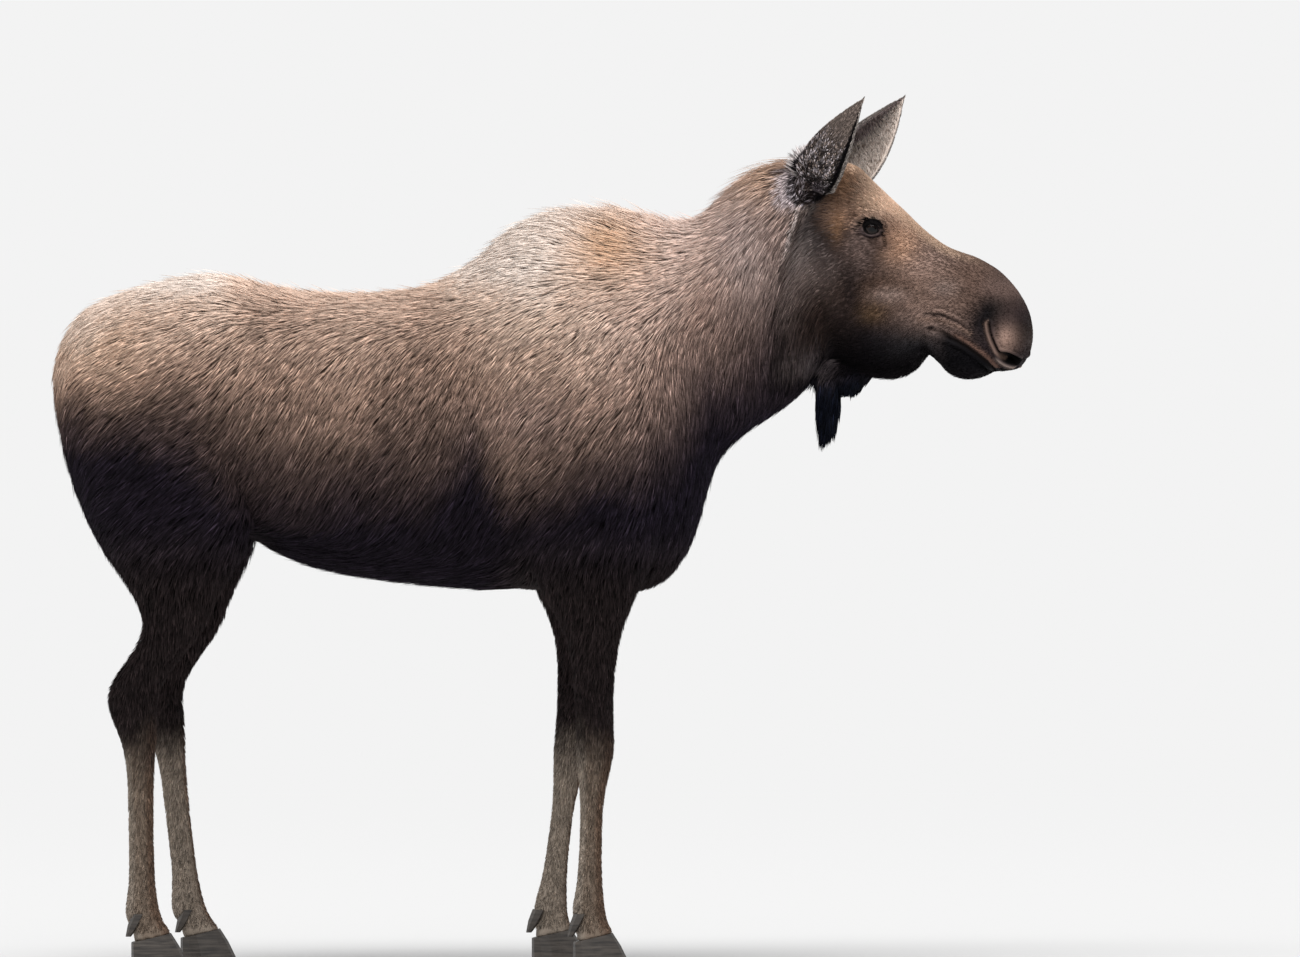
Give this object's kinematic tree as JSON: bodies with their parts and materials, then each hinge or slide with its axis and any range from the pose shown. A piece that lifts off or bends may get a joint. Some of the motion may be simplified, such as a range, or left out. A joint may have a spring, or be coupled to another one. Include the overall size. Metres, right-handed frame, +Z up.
{
  "type": "moose figure",
  "caption": "Life-size still figure of a cow moose, standing with raised head turned a little to its right, ears pricked, bell under the throat.",
  "frame": {"origin": "on the floor, under the middle of the model's bounding box", "axes": "+X towards the animal's head, +Y to the animal's left, +Z up"},
  "size_m": [2.3244, 0.613, 2.0778],
  "materials": {
    "coat": "long grizzled fur, tan at the back and darker down the flank",
    "dark_coat": "long brown-black fur",
    "face_coat": "short brown fur",
    "ear_coat": "short grizzled grey fur, pale inside",
    "shank_coat": "short grey-brown fur",
    "hoof": "dark horn",
    "eye": "wet, dark brown"
  },
  "bodies": {
    "root": {"barrel": "coat", "bell": "dark_coat", "ear_left": "ear_coat", "ear_right": "ear_coat", "eye_left": "eye", "eye_right": "eye", "foreleg_dewclaw_inner_left": "hoof", "foreleg_dewclaw_inner_right": "hoof", "foreleg_dewclaw_outer_left": "hoof", "foreleg_dewclaw_outer_right": "hoof", "foreleg_hoof_inner_left": "hoof", "foreleg_hoof_inner_right": "hoof", "foreleg_hoof_outer_left": "hoof", "foreleg_hoof_outer_right": "hoof", "foreleg_lower_left": "shank_coat", "foreleg_lower_right": "shank_coat", "foreleg_upper_left": "dark_coat", "foreleg_upper_right": "dark_coat", "head": "face_coat", "hindleg_dewclaw_inner_left": "hoof", "hindleg_dewclaw_inner_right": "hoof", "hindleg_dewclaw_outer_left": "hoof", "hindleg_dewclaw_outer_right": "hoof", "hindleg_hoof_inner_left": "hoof", "hindleg_hoof_inner_right": "hoof", "hindleg_hoof_outer_left": "hoof", "hindleg_hoof_outer_right": "hoof", "hindleg_lower_left": "shank_coat", "hindleg_lower_right": "shank_coat", "hindleg_upper_left": "dark_coat", "hindleg_upper_right": "dark_coat", "lower_jaw": "dark_coat", "neck": "coat", "rump": "coat", "shoulders": "coat", "tail": "coat"}
  },
  "joints": []
}
